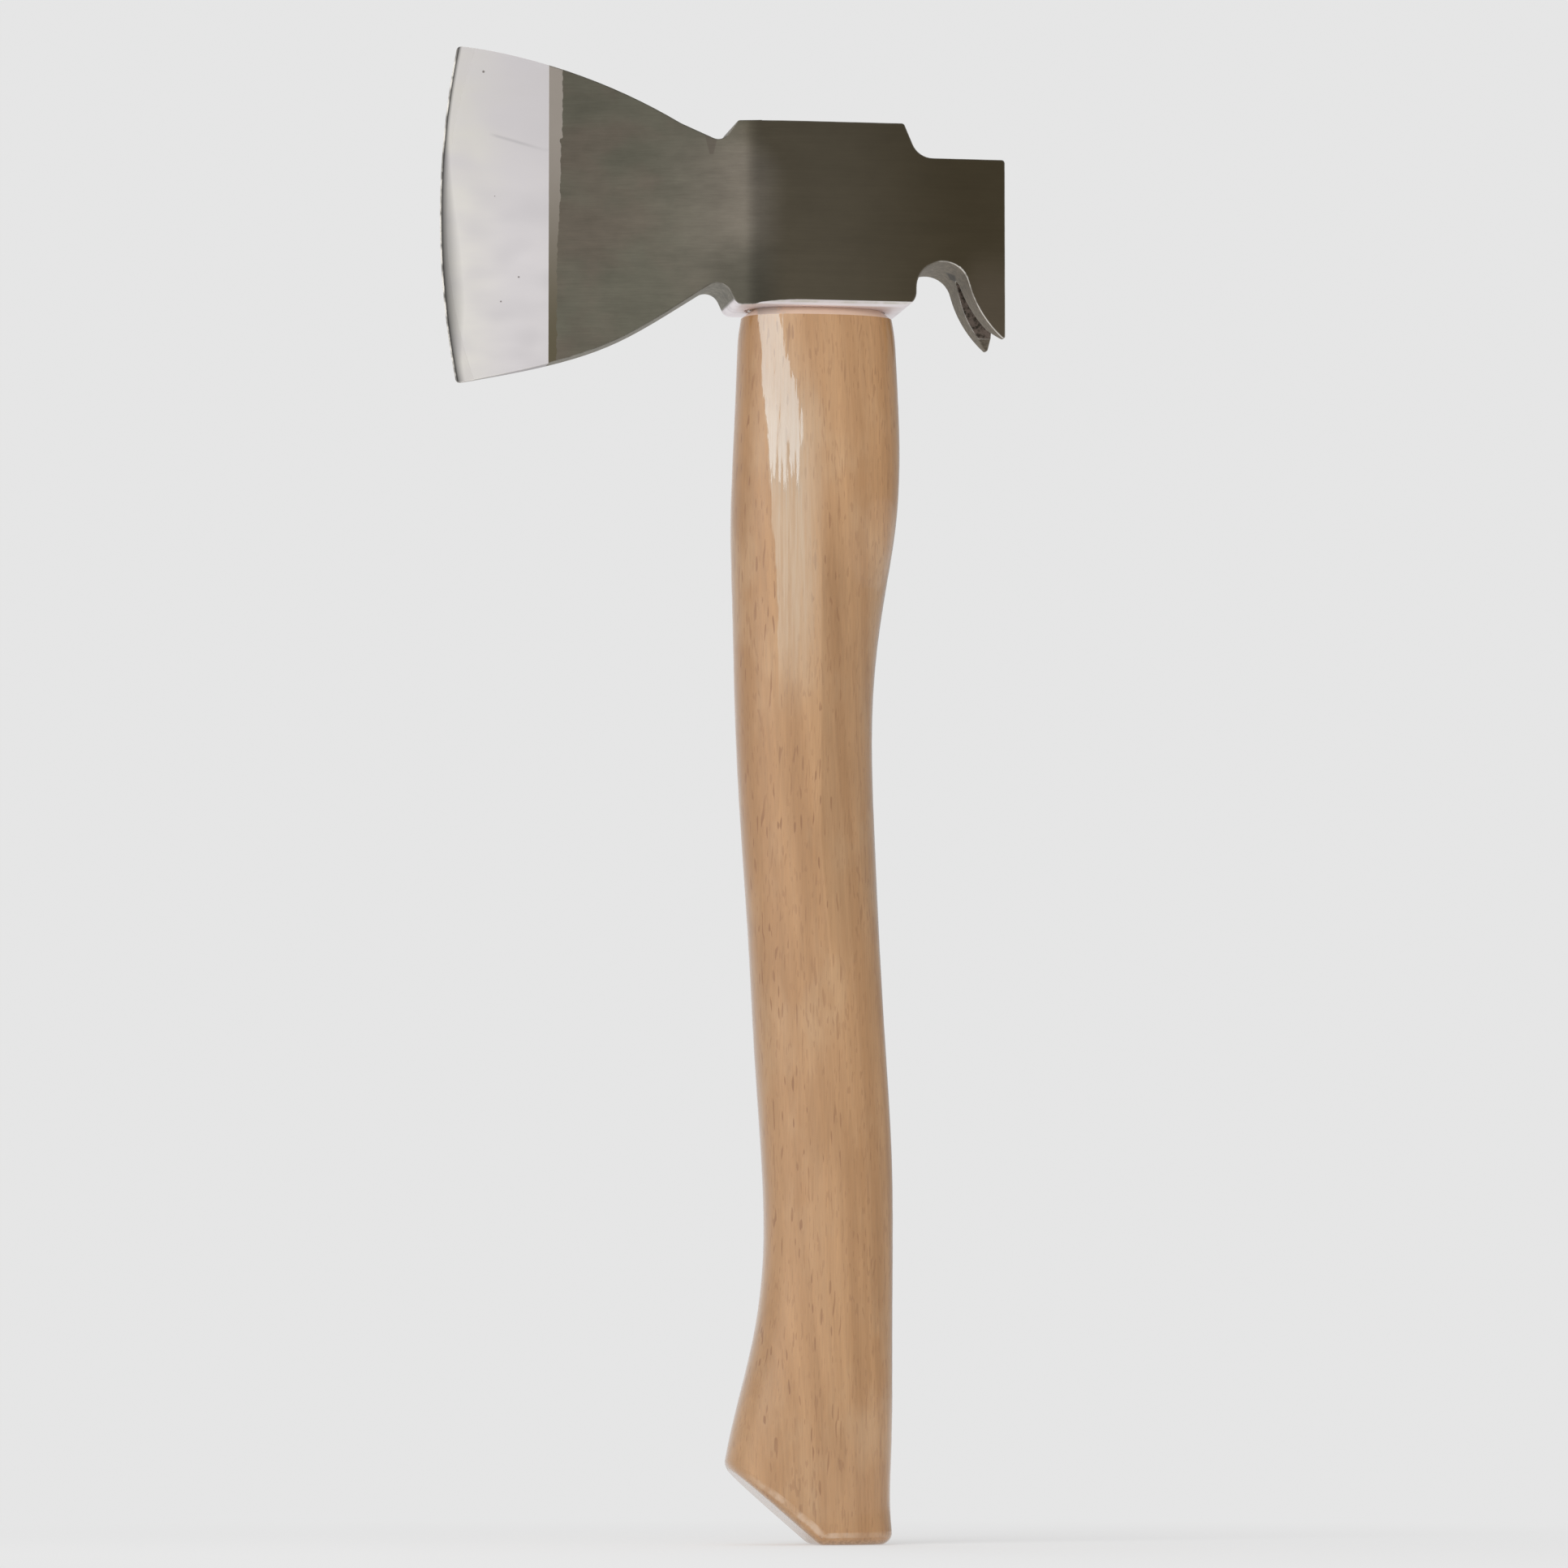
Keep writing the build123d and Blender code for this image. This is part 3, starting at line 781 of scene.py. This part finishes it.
def add_world():
    """The camera sees an even backdrop. As light, it dims toward both sides, -X and +X."""
    world = bpy.data.worlds.new("studio")
    bpy.context.scene.world = world
    world.use_nodes = True
    tree = world.node_tree
    seen = tree.nodes["Background"]
    seen.inputs["Color"].default_value = grey(BACKDROP)
    light = tree.nodes.new("ShaderNodeBackground")
    way = tree.nodes.new("ShaderNodeTexCoord").outputs["Generated"]
    parts = tree.nodes.new("ShaderNodeSeparateXYZ")
    tree.links.new(way, parts.inputs[0])
    shift = tree.nodes.new("ShaderNodeMapRange")
    shift.inputs["From Min"].default_value = -1.0
    tree.links.new(parts.outputs["X"], shift.inputs["Value"])
    levels = tree.nodes.new("ShaderNodeValToRGB")
    levels.color_ramp.interpolation = "EASE"
    tree.links.new(shift.outputs[0], levels.inputs["Fac"])
    stops = levels.color_ramp.elements
    for way_x, level in WORLD_LEVELS[1:-1]:
        stops.new((way_x + 1) / 2)
    for stop, (way_x, level) in zip(stops, WORLD_LEVELS):
        stop.position = (way_x + 1) / 2
        stop.color = grey(level)
    tree.links.new(levels.outputs[0], light.inputs["Color"])
    chooser = tree.nodes.new("ShaderNodeMixShader")
    ray = tree.nodes.new("ShaderNodeLightPath").outputs["Is Camera Ray"]
    tree.links.new(ray, chooser.inputs[0])
    tree.links.new(light.outputs[0], chooser.inputs[1])
    tree.links.new(seen.outputs[0], chooser.inputs[2])
    tree.links.new(chooser.outputs[0], tree.nodes["World Output"].inputs["Surface"])


def floor_material():
    """Pale matt paper that glows a little and fades into the backdrop away from the object."""
    s = Shader("floor_paper")
    fibres = s.noise((400, 400, 400))
    s.set(base_color=s.mix(fibres, (0.49, 0.49, 0.49), (0.51, 0.51, 0.51)), roughness=1.0)
    s.set(emission_color=(1.0, 1.0, 1.0), emission_strength=0.40)
    s.surface.inputs["Specular IOR Level"].default_value = 0.0
    glow = s.new("ShaderNodeEmission")
    glow.inputs["Color"].default_value = grey(BACKDROP)
    away = s.vector_math("LENGTH", s.join(s.x, s.y, 0.0))
    chooser = s.new("ShaderNodeMixShader")
    s.put(chooser.inputs[0], s.ramp(away, *FLOOR_FADE))
    s.put(chooser.inputs[1], s.surface.outputs[0])
    s.put(chooser.inputs[2], glow.outputs[0])
    s.put(s.tree.nodes["Material Output"].inputs["Surface"], chooser.outputs[0])
    return s.material


def add_floor():
    bpy.ops.mesh.primitive_circle_add(
        vertices=96,
        radius=FLOOR_RADIUS,
        fill_type="NGON",
        location=(0, 0, floor_z - FLOOR_GAP),
    )
    floor = bpy.context.object
    floor.name = "floor"
    floor.data.materials.append(floor_material())


bpy.context.scene.view_settings.view_transform = "Standard"
add_camera()
add_world()
add_floor()
add_softbox(
    "left_softbox", way=direction(-44, 18), distance=1.3, width=0.95, height=0.5, radiance=5.2
)

# ---------------------------------------------------------------- dress the model

finishes = {
    "axe_head": steel_material(),
    "handle": beech_material("varnished_beech"),
    "wooden_wedge": beech_material("wedge_beech", tone=0.85),
    "steel_wedge_front": plain_steel_material(),
    "steel_wedge_rear": plain_steel_material(),
}
for node, material in finishes.items():
    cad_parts[node].data.materials[0] = material
